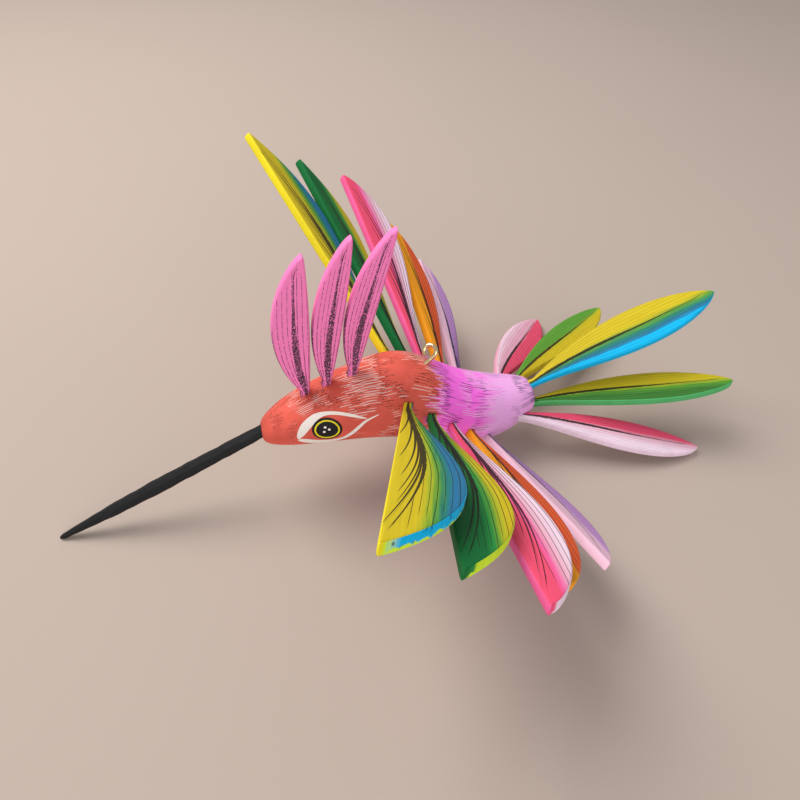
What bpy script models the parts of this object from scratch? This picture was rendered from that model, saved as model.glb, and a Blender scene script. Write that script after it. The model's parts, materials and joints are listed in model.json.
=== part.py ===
"""Painted hummingbird figure: a carved body with pegged feathers, a beak and a screw eye.

The bird faces -X, its left wing is on -Y and it rests on the beak's tip and two tail feathers.
Dimensions are in millimetres from the beak's tip and become metres when a shape is placed.
"""
import bmesh
import bpy
from math import cos, pi, radians, sin
from mathutils import Matrix, Vector

MILLIMETRE = 0.001
BEAK_TIP_TO_ORIGIN = 101.6

# Body: (distance from the beak's tip, height of the centre line, radius) at each station.
BODY_STATIONS = (
    (61.6, 26.3, 2.6),
    (64.5, 27.1, 4.9),
    (70.0, 28.5, 7.1),
    (76.0, 29.4, 8.6),
    (84.0, 30.2, 10.0),
    (92.0, 30.7, 11.4),
    (100.0, 30.0, 12.8),
    (107.0, 27.2, 13.4),
    (114.0, 22.6, 12.9),
    (121.0, 18.4, 11.9),
    (128.0, 16.1, 10.8),
    (134.0, 15.4, 9.5),
    (138.8, 16.0, 7.7),
    (142.0, 16.4, 6.3),
    (144.6, 16.5, 4.6),
)
BODY_SIDES = 16

# Beak: a whittled stick that tapers at both ends.
BEAK_SLOPE = radians(23.0)
BEAK_TIP_HEIGHT = 0.45
BEAK_SECTIONS = (
    (0.0, 0.45),
    (1.2, 0.75),
    (18.0, 1.65),
    (34.0, 1.95),
    (66.0, 1.70),
    (73.5, 1.55),
)
BEAK_SIDES = 10
BEAK_WIDTH_OVER_HEIGHT = 1.15

# Feathers: a flat blade that ends in a square peg with its corners whittled off.
PEG_DEPTH = 7.0
TAIL_PEG_DEPTH = 5.2
PEG_WIDTH = 2.3
NECK_LENGTH = 2.6
WING_THICKNESS = 2.6
TAIL_THICKNESS = 2.9
CREST_THICKNESS = 2.2
CORNER_ROUND = 0.5
OUTLINE_STEPS = 11

# Screw eye: one bent wire.
WIRE_RADIUS = 0.6
LOOP_RADIUS = 1.75
LOOP_SWEEP = radians(272.0)
LOOP_STEPS = 24
EYE_ROOT = (109.6, 0.8, 38.6)
EYE_LEAN = radians(48.0)
EYE_TURN = radians(-58.0)
EYE_DEPTH = 8.0
EYE_LOOP_HEIGHT = 2.85

SOCKET_GAP = 0.35
SOCKET_SIDES = 12
SOCKET_MOUTH = 6.0

CORAL = (0.60, 0.085, 0.04)
BLACK = (0.012, 0.012, 0.013)
BRASS = (0.78, 0.53, 0.19)
HOT_PINK = (0.83, 0.10, 0.40)
YELLOW = (0.66, 0.56, 0.03)
GREEN = (0.04, 0.25, 0.05)
ROSE = (0.80, 0.16, 0.23)
AMBER = (0.80, 0.30, 0.02)
LILAC = (0.68, 0.42, 0.62)

# Wing feathers from front to rear: root in the body, where along the blade it is widest and how
# blunt its end is. The wings differ a little, as hand-cut ones do, so each has its own tips,
# swell of the rear edge and roll. Distances across are given for the right wing.
WING_FEATHERS = (
    dict(root=(101.0, 10.0, 35.0), widest=0.63, blunt=1.05, colour=YELLOW,
         left=dict(tip=(77.4, 69.4, 75.2), swell=13.4, roll=-20.0),
         right=dict(tip=(76.2, 72.2, 75.6), swell=11.0, roll=-44.0)),
    dict(root=(107.3, 11.0, 30.0), widest=0.64, blunt=1.10, colour=GREEN,
         left=dict(tip=(90.6, 71.8, 63.8), swell=12.6, roll=-20.0),
         right=dict(tip=(90.4, 74.2, 64.6), swell=10.0, roll=-46.0)),
    dict(root=(113.4, 11.2, 24.4), widest=0.68, blunt=0.80, colour=ROSE,
         left=dict(tip=(104.6, 78.2, 54.9), swell=10.4, roll=-14.0),
         right=dict(tip=(105.0, 78.4, 55.1), swell=11.4, roll=-30.0)),
    dict(root=(119.4, 10.8, 19.0), widest=0.61, blunt=0.85, colour=AMBER,
         left=dict(tip=(113.6, 72.0, 44.6), swell=11.0, roll=-30.0),
         right=dict(tip=(118.2, 68.4, 40.2), swell=9.4, roll=-38.0)),
    dict(root=(125.4, 10.0, 13.6), widest=0.64, blunt=0.85, colour=LILAC,
         left=dict(tip=(132.4, 63.4, 26.4), swell=9.4, roll=-36.0),
         right=dict(tip=(128.2, 64.4, 26.2), swell=7.4, roll=-34.0)),
)

# Tail feathers from the bird's right to its left: both edges swell.
TAIL_FEATHERS = (
    dict(root=(135.6, 6.4, 16.2), tip=(171.2, 45.8, 1.3), near=5.0, far=6.4, roll=0.0, colour=ROSE),
    dict(root=(141.2, 5.2, 16.8), tip=(192.0, 37.8, 8.6), near=4.9, far=5.0, roll=0.0, colour=GREEN),
    dict(root=(142.8, -0.2, 20.2), tip=(200.0, 0.0, 42.8), near=5.0, far=6.6, roll=16.0, colour=YELLOW),
    dict(root=(143.2, -2.4, 14.8), tip=(203.0, -18.2, 21.4), near=4.0, far=5.8, roll=0.0, colour=GREEN),
    dict(root=(137.0, -6.8, 15.4), tip=(193.0, -26.0, 1.3), near=4.6, far=4.6, roll=8.0, colour=ROSE),
)
TAIL_WIDEST_NEAR = 0.66
TAIL_WIDEST_FAR = 0.56
TAIL_BLUNT = 0.80

# Crest feathers from front to rear: the front edge swells, the rear edge is nearly straight.
CREST_FEATHERS = (
    dict(name="front", root=(75.4, 0.8, 36.0), tip=(79.7, 0.0, 80.1), front=7.0, rear=0.7),
    dict(name="middle", root=(81.2, 0.8, 38.0), tip=(90.8, 0.0, 82.6), front=5.4, rear=0.8),
    dict(name="rear", root=(88.2, 0.8, 39.6), tip=(101.1, 0.0, 82.9), front=5.5, rear=0.4),
)
CREST_WIDEST = 0.52
CREST_BLUNT = 0.85


def placed(x, y, z):
    """A point given from the beak's tip, as a vector in the part's own frame."""
    return Vector((x - BEAK_TIP_TO_ORIGIN, y, z)) * MILLIMETRE


def clear_scene():
    """Remove every object, so that only this model is left."""
    for thing in list(bpy.data.objects):
        bpy.data.objects.remove(thing)


def paint(name, colour, roughness=0.45, metallic=0.0):
    """A plain Principled material."""
    material = bpy.data.materials.new(name)
    material.use_nodes = True
    shader = material.node_tree.nodes["Principled BSDF"]
    shader.inputs["Base Color"].default_value = (*colour, 1.0)
    shader.inputs["Roughness"].default_value = roughness
    shader.inputs["Metallic"].default_value = metallic
    return material


def add_object(name, mesh_builder, material, smooth=True):
    """Turn a finished bmesh into a named object and free the bmesh."""
    mesh = bpy.data.meshes.new(name)
    bmesh.ops.recalc_face_normals(mesh_builder, faces=mesh_builder.faces)
    mesh_builder.to_mesh(mesh)
    mesh_builder.free()
    if smooth:
        mesh.shade_smooth()
        mesh.set_sharp_from_angle(angle=radians(35.0))
    mesh.materials.append(material)
    thing = bpy.data.objects.new(name, mesh)
    bpy.context.scene.collection.objects.link(thing)
    return thing


def axes_along(direction, side):
    """A rotation whose Z runs along direction and whose X is as close to side as it can be."""
    along = direction.normalized()
    across = (side - side.dot(along) * along).normalized()
    return Matrix((across, along.cross(across), along)).transposed().to_4x4()


def loft(sections, sides):
    """Bridge rings into one closed tube; each section is (matrix, radius)."""
    solid = bmesh.new()
    rings = []
    for matrix, radius in sections:
        ring = bmesh.ops.create_circle(solid, segments=sides, radius=radius, matrix=matrix)
        rings.append(ring["verts"])
    edges = [edge for edge in solid.edges]
    bmesh.ops.bridge_loops(solid, edges=edges)
    bmesh.ops.holes_fill(solid, edges=solid.edges, sides=sides)
    return solid


def make_body(material):
    """The head and body, one carving, lofted through round stations."""
    sections = []
    for x, z, radius in BODY_STATIONS:
        matrix = Matrix.Translation(placed(x, 0.0, z)) @ Matrix.Rotation(pi / 2, 4, "Y")
        sections.append((matrix, radius * MILLIMETRE))
    body = add_object("body", loft(sections, BODY_SIDES), material)
    rounding = body.modifiers.new("carved_rounding", "SUBSURF")
    rounding.levels = 1
    rounding.render_levels = 1
    return body


def make_beak(material):
    """The beak, a slim stick that slopes up into the head."""
    direction = Vector((cos(BEAK_SLOPE), 0.0, sin(BEAK_SLOPE)))
    turn = axes_along(direction, Vector((0.0, 1.0, 0.0)))
    start = placed(0.2, 0.0, BEAK_TIP_HEIGHT)
    widen = Matrix.Diagonal((BEAK_WIDTH_OVER_HEIGHT, 1.0, 1.0, 1.0))
    sections = []
    for distance, radius in BEAK_SECTIONS:
        middle = start + direction * distance * MILLIMETRE
        sections.append((Matrix.Translation(middle) @ turn @ widen, radius * MILLIMETRE))
    add_object("beak", loft(sections, BEAK_SIDES), material)
    inner_end = start + direction * BEAK_SECTIONS[-1][0] * MILLIMETRE
    socket_radius = BEAK_SECTIONS[-2][1] * BEAK_WIDTH_OVER_HEIGHT + SOCKET_GAP
    socket_depth = BEAK_SECTIONS[-1][0] - BEAK_SECTIONS[-2][0]
    return inner_end, -direction, socket_radius, socket_depth


def swelling(along, amount, widest, blunt):
    """How far an edge stands out at a share of the blade's length: nothing at both ends."""
    rise = blunt * widest / (1.0 - widest)
    highest = widest ** rise * (1.0 - widest) ** blunt
    return amount * along ** rise * (1.0 - along) ** blunt / highest


def blade_outline(length, one_side, other_side, peg_depth=PEG_DEPTH):
    """Outline points of a feather in its own plane, along X from the root, peg included.

    Each side is (amount, widest, blunt); one_side stands out towards +Y, other_side towards -Y.
    """
    half_peg = PEG_WIDTH / 2
    points = [(-peg_depth, -half_peg), (NECK_LENGTH, -half_peg)]
    shares = [1.0 - (1.0 - step / OUTLINE_STEPS) ** 1.5 for step in range(1, OUTLINE_STEPS)]
    blade = length - NECK_LENGTH
    for share in shares:
        half = half_peg * (1.0 - share) + 0.3 * share
        points.append((NECK_LENGTH + blade * share, -half - swelling(share, *other_side)))
    points.append((length, -0.3))
    points.append((length, 0.3))
    for share in reversed(shares):
        half = half_peg * (1.0 - share) + 0.3 * share
        points.append((NECK_LENGTH + blade * share, half + swelling(share, *one_side)))
    points += [(NECK_LENGTH, half_peg), (-peg_depth, half_peg)]
    return points


def make_feather(name, root, tip, across, outline, thickness, material):
    """A flat blade with its peg: the outline is extruded and its rims are eased.

    The feather's origin is its root, on the axis that it slides along.
    """
    solid = bmesh.new()
    half = thickness / 2
    corners = [solid.verts.new(Vector((x, y, -half)) * MILLIMETRE) for x, y in outline]
    lower = solid.faces.new(corners)
    upper = bmesh.ops.extrude_face_region(solid, geom=[lower], use_keep_orig=True)
    raised = [item for item in upper["geom"] if isinstance(item, bmesh.types.BMVert)]
    bmesh.ops.translate(solid, verts=raised, vec=(0.0, 0.0, thickness * MILLIMETRE))
    bmesh.ops.recalc_face_normals(solid, faces=solid.faces)
    rims = [edge for edge in solid.edges if abs(edge.verts[0].co.z - edge.verts[1].co.z) < 1e-7]
    bmesh.ops.bevel(solid, geom=rims, offset=CORNER_ROUND * MILLIMETRE, offset_type="OFFSET",
                    segments=1, profile=0.5, affect="EDGES", clamp_overlap=True, material=-1)
    feather = add_object(name, solid, material)
    along = (tip - root).normalized()
    side = (across - across.dot(along) * along).normalized()
    turn = Matrix((along, side, along.cross(side))).transposed().to_4x4()
    feather.matrix_world = Matrix.Translation(root) @ turn
    peg_depth = -outline[0][0]
    return root - along * peg_depth * MILLIMETRE, along, peg_socket_radius(thickness), peg_depth


def peg_socket_radius(thickness):
    """Radius of the round hole that takes a square peg whose corners are eased."""
    wide = Vector((PEG_WIDTH / 2, thickness / 2 - CORNER_ROUND))
    tall = Vector((PEG_WIDTH / 2 - CORNER_ROUND, thickness / 2))
    return max(wide.length, tall.length) + SOCKET_GAP


def rolled(direction, reference, roll):
    """The reference direction squared to the feather's axis, then turned about that axis."""
    along = direction.normalized()
    flat = (reference - reference.dot(along) * along).normalized()
    return Matrix.Rotation(roll, 3, along) @ flat


def make_wing(side_name):
    """Five feathers of the left or the right wing."""
    side = -1 if side_name == "left" else 1
    sockets = []
    for number, feather in enumerate(WING_FEATHERS, start=1):
        own = feather[side_name]
        root_x, root_y, root_z = feather["root"]
        tip_x, tip_y, tip_z = own["tip"]
        root = placed(root_x, root_y * side, root_z)
        tip = placed(tip_x, tip_y * side, tip_z)
        across = rolled(tip - root, Vector((1.0, 0.0, 0.0)), radians(own["roll"]) * -side)
        length = (tip - root).length / MILLIMETRE
        rear = (own["swell"], feather["widest"], feather["blunt"])
        front = (0.0, feather["widest"], feather["blunt"])
        name = f"{side_name}_wing_feather_{number}"
        outline = blade_outline(length, rear, front)
        material = paint(f"paint_{name}", feather["colour"])
        sockets.append(make_feather(name, root, tip, across, outline, WING_THICKNESS, material))
    return sockets


def make_tail():
    """Five feathers that fan out of the blunt tail end."""
    sockets = []
    for number, feather in enumerate(TAIL_FEATHERS, start=1):
        root = placed(*feather["root"])
        tip = placed(*feather["tip"])
        across = rolled(tip - root, Vector((0.0, -1.0, 0.0)), radians(feather["roll"]))
        length = (tip - root).length / MILLIMETRE
        near = (feather["near"], TAIL_WIDEST_NEAR, TAIL_BLUNT)
        far = (feather["far"], TAIL_WIDEST_FAR, TAIL_BLUNT)
        name = f"tail_feather_{number}"
        outline = blade_outline(length, near, far, TAIL_PEG_DEPTH)
        material = paint(f"paint_{name}", feather["colour"])
        sockets.append(make_feather(name, root, tip, across, outline, TAIL_THICKNESS, material))
    return sockets


def make_crest():
    """Three feathers that stand on the crown, edge on to the front."""
    sockets = []
    material = paint("paint_crest", HOT_PINK)
    for feather in CREST_FEATHERS:
        root = placed(*feather["root"])
        tip = placed(*feather["tip"])
        across = rolled(tip - root, Vector((-1.0, 0.0, 0.0)), 0.0)
        length = (tip - root).length / MILLIMETRE
        front = (feather["front"], CREST_WIDEST, CREST_BLUNT)
        rear = (feather["rear"], CREST_WIDEST, CREST_BLUNT)
        name = f"crest_feather_{feather['name']}"
        outline = blade_outline(length, front, rear)
        sockets.append(make_feather(name, root, tip, across, outline, CREST_THICKNESS, material))
    return sockets


def make_screw_eye(material):
    """A bent wire: a straight shank that runs on as one side of a ring, left open at its end."""
    path = [(0.0, -EYE_DEPTH), (0.0, 0.0), (0.0, EYE_LOOP_HEIGHT - LOOP_RADIUS)]
    for step in range(LOOP_STEPS + 1):
        angle = LOOP_SWEEP * step / LOOP_STEPS
        sideways = LOOP_RADIUS * (cos(angle) - 1.0)
        path.append((sideways, EYE_LOOP_HEIGHT + LOOP_RADIUS * sin(angle)))
    wire = bpy.data.curves.new("screw_eye", "CURVE")
    wire.dimensions = "3D"
    wire.bevel_depth = WIRE_RADIUS * MILLIMETRE
    wire.bevel_resolution = 2
    wire.use_fill_caps = True
    spline = wire.splines.new("POLY")
    spline.points.add(len(path) - 1)
    for point, (sideways, up) in zip(spline.points, path):
        point.co = (sideways * MILLIMETRE, 0.0, up * MILLIMETRE, 1.0)
    wire.materials.append(material)
    screw_eye = bpy.data.objects.new("screw_eye", wire)
    bpy.context.scene.collection.objects.link(screw_eye)
    root = placed(*EYE_ROOT)
    lean = Matrix.Rotation(EYE_LEAN, 4, "Y")
    screw_eye.matrix_world = Matrix.Translation(root) @ lean @ Matrix.Rotation(EYE_TURN, 4, "Z")
    shank = lean.to_3x3() @ Vector((0.0, 0.0, 1.0))
    return (root - shank * EYE_DEPTH * MILLIMETRE, shank, WIRE_RADIUS + SOCKET_GAP, EYE_DEPTH)


def cut_sockets(body, sockets):
    """Drill one round hole in the body for each peg, the beak and the screw eye."""
    drills = bpy.data.collections.new("drills")
    bpy.context.scene.collection.children.link(drills)
    for number, (bottom, along, radius, depth) in enumerate(sockets, start=1):
        floor = bottom - along * SOCKET_GAP * MILLIMETRE
        height = (depth + SOCKET_GAP + SOCKET_MOUTH) * MILLIMETRE
        solid = bmesh.new()
        bmesh.ops.create_cone(solid, cap_ends=True, segments=SOCKET_SIDES, depth=height,
                              radius1=radius * MILLIMETRE, radius2=radius * MILLIMETRE)
        mesh = bpy.data.meshes.new(f"drill_{number}")
        solid.to_mesh(mesh)
        solid.free()
        drill = bpy.data.objects.new(f"drill_{number}", mesh)
        turn = axes_along(along, Vector((0.3, 1.0, 0.2)))
        drill.matrix_world = Matrix.Translation(floor + along * height / 2) @ turn
        drill.hide_render = True
        drill.display_type = "WIRE"
        drills.objects.link(drill)
    cut = body.modifiers.new("sockets", "BOOLEAN")
    cut.operation = "DIFFERENCE"
    cut.operand_type = "COLLECTION"
    cut.collection = drills
    cut.solver = "EXACT"


def main():
    """Build every piece, then drill the body for them."""
    clear_scene()
    body = make_body(paint("coral_paint", CORAL))
    sockets = [
        make_beak(paint("black_paint", BLACK, roughness=0.4)),
        make_screw_eye(paint("brass_wire", BRASS, 0.25, 1.0)),
    ]
    sockets += make_crest()
    sockets += make_wing("left")
    sockets += make_wing("right")
    sockets += make_tail()
    cut_sockets(body, sockets)


if __name__ == "__main__":
    main()
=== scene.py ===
"""A carved and painted wooden hummingbird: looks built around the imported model.

The bird faces -X and its left wing is on -Y. Lengths in the tables are millimetres from the
beak's tip, as in the part itself, and placed() turns them into metres in the model's frame.
"""
import json
from math import atan2, cos, pi, radians, sin

import bmesh
import bpy
from bpy.props import FloatProperty, FloatVectorProperty, IntProperty, PointerProperty
from mathutils import Matrix, Vector
from mathutils.bvhtree import BVHTree


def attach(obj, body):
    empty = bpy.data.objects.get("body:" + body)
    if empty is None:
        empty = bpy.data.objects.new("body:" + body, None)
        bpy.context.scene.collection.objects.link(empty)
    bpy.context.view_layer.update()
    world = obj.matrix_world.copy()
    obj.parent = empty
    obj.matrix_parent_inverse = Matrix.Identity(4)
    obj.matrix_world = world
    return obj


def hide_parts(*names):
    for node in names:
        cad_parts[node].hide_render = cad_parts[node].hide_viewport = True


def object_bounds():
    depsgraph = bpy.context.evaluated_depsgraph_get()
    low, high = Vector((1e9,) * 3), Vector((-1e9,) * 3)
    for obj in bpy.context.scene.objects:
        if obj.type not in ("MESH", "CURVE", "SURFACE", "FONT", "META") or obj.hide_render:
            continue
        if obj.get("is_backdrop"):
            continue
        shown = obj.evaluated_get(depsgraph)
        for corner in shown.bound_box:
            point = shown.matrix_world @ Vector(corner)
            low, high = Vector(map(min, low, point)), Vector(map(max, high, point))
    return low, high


bl_info = {
    "name": "Painted Hummingbird",
    "version": (1, 0, 0),
    "blender": (4, 5, 0),
    "location": "View3D > Sidebar > Hummingbird",
    "description": "A carved and painted wooden hummingbird with pegged feathers",
    "category": "Add Mesh",
}

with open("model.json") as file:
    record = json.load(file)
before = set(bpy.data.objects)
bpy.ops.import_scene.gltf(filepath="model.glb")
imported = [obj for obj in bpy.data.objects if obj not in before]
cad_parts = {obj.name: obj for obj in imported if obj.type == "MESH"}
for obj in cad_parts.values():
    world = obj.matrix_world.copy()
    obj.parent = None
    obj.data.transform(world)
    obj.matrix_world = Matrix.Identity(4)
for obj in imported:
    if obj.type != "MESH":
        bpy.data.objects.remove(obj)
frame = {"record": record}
CAD_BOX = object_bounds()

MILLIMETRE = 0.001
BEAK_TIP_TO_ORIGIN = 101.6

# Body: (distance from the beak's tip, height of the centre line, radius) at each station.
BODY_STATIONS = (
    (61.6, 26.3, 2.6),
    (64.5, 27.1, 4.9),
    (70.0, 28.5, 7.1),
    (76.0, 29.4, 8.6),
    (84.0, 30.2, 10.0),
    (92.0, 30.7, 11.4),
    (100.0, 30.0, 12.8),
    (107.0, 27.2, 13.4),
    (114.0, 22.6, 12.9),
    (121.0, 18.4, 11.9),
    (128.0, 16.1, 10.8),
    (134.0, 15.4, 9.5),
    (138.8, 16.0, 7.7),
    (142.0, 16.4, 6.3),
    (144.6, 16.5, 4.6),
)
BODY_SIDES = 16

# Beak: (distance along the stick, radius).
BEAK_SLOPE = radians(23.0)
BEAK_START = (0.2, 0.0, 0.45)
BEAK_SECTIONS = (
    (0.0, 0.45),
    (1.2, 0.75),
    (18.0, 1.65),
    (34.0, 1.95),
    (66.0, 1.70),
    (73.5, 1.55),
)
BEAK_WIDTH_OVER_HEIGHT = 1.15
BEAK_CUTS = 30
BEAK_SIDES = 9

# Feathers.
PEG_DEPTH = 7.0
TAIL_PEG_DEPTH = 5.2
PEG_WIDTH = 2.3
NECK_LENGTH = 2.6
POINT_HALF = 0.3
PEG_PLAY = 0.08
PEG_MOUTH = 0.3
BLADE_ROWS = 18
# The blade's stations lie closer together towards the tip; 1 would space them evenly.
TIP_CROWDING = 1.8
# A face belongs to the rim where it is lower than the flat by this share of the easing.
RIM_DROP = 0.3
# Rows of the eased rim, as shares of the easing.
RIM_ROWS = (0.0, 0.10, 0.35, 0.65, 1.0)
SOCKET_MOUTH = 6.0

# Screw eye.
WIRE_RADIUS = 0.6
LOOP_RADIUS = 1.75
LOOP_SWEEP = radians(272.0)
LOOP_STEPS = 60
EYE_ROOT = (109.6, 0.8, 38.6)
EYE_LEAN = radians(48.0)
EYE_TURN = radians(-58.0)
EYE_DEPTH = 8.0
EYE_LOOP_HEIGHT = 2.85

# Wing feathers from front to rear, as in the part: root, where the blade is widest, how blunt
# its end is, and each wing's own tip, swell of the rear edge and roll.
WING_FEATHERS = (
    dict(root=(101.0, 10.0, 35.0), widest=0.63, blunt=1.05,
         left=dict(tip=(77.4, 69.4, 75.2), swell=13.4, roll=-20.0),
         right=dict(tip=(76.2, 72.2, 75.6), swell=11.0, roll=-44.0)),
    dict(root=(107.3, 11.0, 30.0), widest=0.64, blunt=1.10,
         left=dict(tip=(90.6, 71.8, 63.8), swell=12.6, roll=-20.0),
         right=dict(tip=(90.4, 74.2, 64.6), swell=10.0, roll=-46.0)),
    dict(root=(113.4, 11.2, 24.4), widest=0.68, blunt=0.80,
         left=dict(tip=(104.6, 78.2, 54.9), swell=10.4, roll=-14.0),
         right=dict(tip=(105.0, 78.4, 55.1), swell=11.4, roll=-30.0)),
    dict(root=(119.4, 10.8, 19.0), widest=0.61, blunt=0.85,
         left=dict(tip=(113.6, 72.0, 44.6), swell=11.0, roll=-30.0),
         right=dict(tip=(118.2, 68.4, 40.2), swell=9.4, roll=-38.0)),
    dict(root=(125.4, 10.0, 13.6), widest=0.64, blunt=0.85,
         left=dict(tip=(132.4, 63.4, 26.4), swell=9.4, roll=-36.0),
         right=dict(tip=(128.2, 64.4, 26.2), swell=7.4, roll=-34.0)),
)

TAIL_FEATHERS = (
    dict(root=(135.6, 6.4, 16.2), tip=(171.2, 45.8, 1.3), near=5.0, far=6.4, roll=0.0),
    dict(root=(141.2, 5.2, 16.8), tip=(192.0, 37.8, 8.6), near=4.9, far=5.0, roll=0.0),
    dict(root=(142.8, -0.2, 20.2), tip=(200.0, 0.0, 42.8), near=5.0, far=6.6, roll=16.0),
    dict(root=(143.2, -2.4, 14.8), tip=(203.0, -18.2, 21.4), near=4.0, far=5.8, roll=0.0),
    dict(root=(137.0, -6.8, 15.4), tip=(193.0, -26.0, 1.3), near=4.6, far=4.6, roll=8.0),
)
TAIL_WIDEST_NEAR = 0.66
TAIL_WIDEST_FAR = 0.56
TAIL_BLUNT = 0.80

CREST_FEATHERS = (
    dict(name="front", root=(75.4, 0.8, 36.0), tip=(79.7, 0.0, 80.1), front=7.0, rear=0.7),
    dict(name="middle", root=(81.2, 0.8, 38.0), tip=(90.8, 0.0, 82.6), front=5.4, rear=0.8),
    dict(name="rear", root=(88.2, 0.8, 39.6), tip=(101.1, 0.0, 82.9), front=5.5, rear=0.4),
)
CREST_WIDEST = 0.52
CREST_BLUNT = 0.85

# Painted eye, in millimetres on the cheek's own plane: forward is negative, up is positive.
CHEEK_POINT = (79.2, -8.7, 31.6)
CHEEK_NORMAL = Vector((-0.214, -0.935, 0.283)).normalized()
EYE_CENTRE = (-0.2, -0.1)
EYE_FLATNESS = 0.88
EYE_DOTS = ((-0.4, 0.9), (0.55, 0.1), (-0.85, -0.5))
EYE_DOT_RADIUS = 0.38
# Inner and outer edge of the yellow ring, as shares of the disc's radius.
EYE_RING = (0.73, 0.84)
# The brush strokes stop between these two distances from the eye's middle, in metres.
EYE_CALM = (0.0068, 0.0052)
# The white almond round the eye: (forward, up, half width) along its two arms.
UPPER_LID = (
    (-8.3, -2.3, 0.35),
    (-7.3, -0.7, 0.95),
    (-5.6, 1.5, 1.2),
    (-3.0, 3.6, 0.9),
    (-0.2, 4.45, 0.5),
    (3.3, 4.25, 0.42),
    (7.1, 3.2, 0.40),
    (10.6, 1.9, 0.12),
)
LOWER_LID = (
    (-8.4, -2.9, 0.35),
    (-6.6, -3.5, 0.8),
    (-3.4, -4.7, 0.9),
    (0.2, -5.1, 0.7),
    (3.4, -4.4, 0.5),
    (6.0, -2.6, 0.5),
    (8.2, -0.6, 0.45),
    (10.4, 1.2, 0.3),
    (13.8, 2.6, 0.1),
)

# Paints: stops of (place from one edge of the blade to the other, colour), linear values.
INK = (0.012, 0.009, 0.008)
NAVY = (0.02, 0.02, 0.06)
BROWN = (0.045, 0.014, 0.006)
SLATE = (0.022, 0.022, 0.032)
SUN = (0.64, 0.50, 0.014)
CANARY = (0.86, 0.72, 0.02)
LIME = (0.42, 0.47, 0.02)
GLOW = (0.62, 0.86, 0.03)
GRASS = (0.11, 0.34, 0.035)
FOREST = (0.003, 0.15, 0.033)
EMERALD = (0.02, 0.27, 0.05)
MINT = (0.09, 0.46, 0.15)
TEAL = (0.02, 0.22, 0.15)
OCEAN = (0.02, 0.18, 0.36)
CYAN = (0.0, 0.48, 0.86)
ROSE = (0.88, 0.085, 0.18)
PETAL = (0.84, 0.42, 0.56)
FUCHSIA = (0.90, 0.13, 0.38)
SNOW = (0.92, 0.70, 0.84)
AMBER = (0.92, 0.36, 0.01)
FLAME = (0.80, 0.115, 0.03)
BLUSH = (0.83, 0.52, 0.66)
LILAC = (0.58, 0.30, 0.66)
CANDY = (1.0, 0.24, 0.56)
MOSS = (0.045, 0.19, 0.03)
FOAM = (0.42, 0.74, 0.46)
PINK_WHITE = (0.92, 0.62, 0.84)
PLUM = (0.045, 0.012, 0.07)

# Each paint has the colours across the face and along the rim, and the ink of its lines. It may
# also have:
#   quill      place of the quill, how late it curls forwards and its half width in millimetres
#   barbs      share of the barbs that are painted
#   spread     how far the face's colours reach across near the root
#   pitch      distance between the fanned lines, as a share of the width
#   under      colour of the rim's lower edge near the tip
#   smear      how ragged that colour's border is
#   speckle    strength of the dark spots on the rim
#   front_ink  strength of the broken dark line along the foot of the leading rim
WING_PAINTS = (
    dict(face=((0.0, SUN), (0.43, SUN), (0.51, LIME), (0.62, GRASS), (0.72, TEAL), (0.82, OCEAN)),
         rim=((0.0, CANARY), (0.08, CANARY), (0.12, GLOW), (0.20, FOAM), (0.28, CYAN), (1.0, CYAN)),
         under=GLOW, ink=INK, quill=(0.48, 4.2, 0.66), barbs=1.0, spread=0.62, speckle=0.7, smear=2.2),
    dict(face=((0.0, FOREST), (0.45, FOREST), (0.56, EMERALD), (0.64, GRASS), (0.72, LIME), (0.82, SUN)),
         rim=((0.0, FOREST), (0.10, FOREST), (0.22, EMERALD), (0.28, GLOW), (1.0, GLOW)),
         under=GLOW, ink=INK, quill=(0.53, 5.0, 0.58), barbs=0.8, spread=0.88, smear=2.2),
    dict(face=((0.0, ROSE), (0.36, ROSE), (0.47, FUCHSIA), (0.62, PETAL), (0.85, SNOW)),
         rim=((0.0, FUCHSIA), (0.15, ROSE), (0.24, SNOW), (1.0, SNOW)),
         under=SNOW, ink=INK, quill=(0.52, 5.5, 0.45), barbs=0.8, spread=1.0, pitch=0.11),
    dict(face=((0.0, AMBER), (0.42, AMBER), (0.52, FLAME), (1.0, FLAME)),
         rim=((0.0, AMBER), (1.0, AMBER)),
         under=AMBER, ink=BROWN, quill=(0.50, 6.0, 0.45), barbs=0.7, spread=1.0, pitch=0.11),
    dict(face=((0.0, BLUSH), (0.40, BLUSH), (0.55, LILAC), (1.0, LILAC)),
         rim=((0.0, BLUSH), (0.5, BLUSH), (1.0, LILAC)),
         under=BLUSH, ink=NAVY, quill=(0.46, 6.0, 0.42), barbs=0.0, spread=1.0),
)
TAIL_PAINTS = (
    dict(face=((0.0, SNOW), (0.30, PETAL), (0.47, PETAL), (0.55, ROSE), (1.0, ROSE)),
         rim=((0.0, PETAL), (0.45, PETAL), (0.55, ROSE), (1.0, ROSE)), ink=INK),
    dict(face=((0.0, GRASS), (0.44, GRASS), (0.54, LIME), (0.62, SUN), (1.0, SUN)),
         rim=((0.0, GRASS), (0.45, GRASS), (0.55, SUN), (1.0, SUN)), ink=BROWN),
    dict(face=((0.0, SUN), (0.40, SUN), (0.53, GRASS), (0.64, TEAL), (0.76, OCEAN), (0.82, CYAN)),
         rim=((0.0, SUN), (0.45, SUN), (0.55, CYAN), (1.0, CYAN)), ink=INK),
    dict(face=((0.0, SUN), (0.42, SUN), (0.52, LIME), (0.62, GRASS), (0.78, MOSS), (1.0, MOSS)),
         rim=((0.0, SUN), (0.45, SUN), (0.55, MINT), (1.0, MINT)), ink=INK),
    dict(face=((0.0, ROSE), (0.38, ROSE), (0.50, PETAL), (0.80, SNOW), (1.0, SNOW)),
         rim=((0.0, ROSE), (0.45, ROSE), (0.55, SNOW), (1.0, SNOW)), ink=INK),
)
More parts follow.
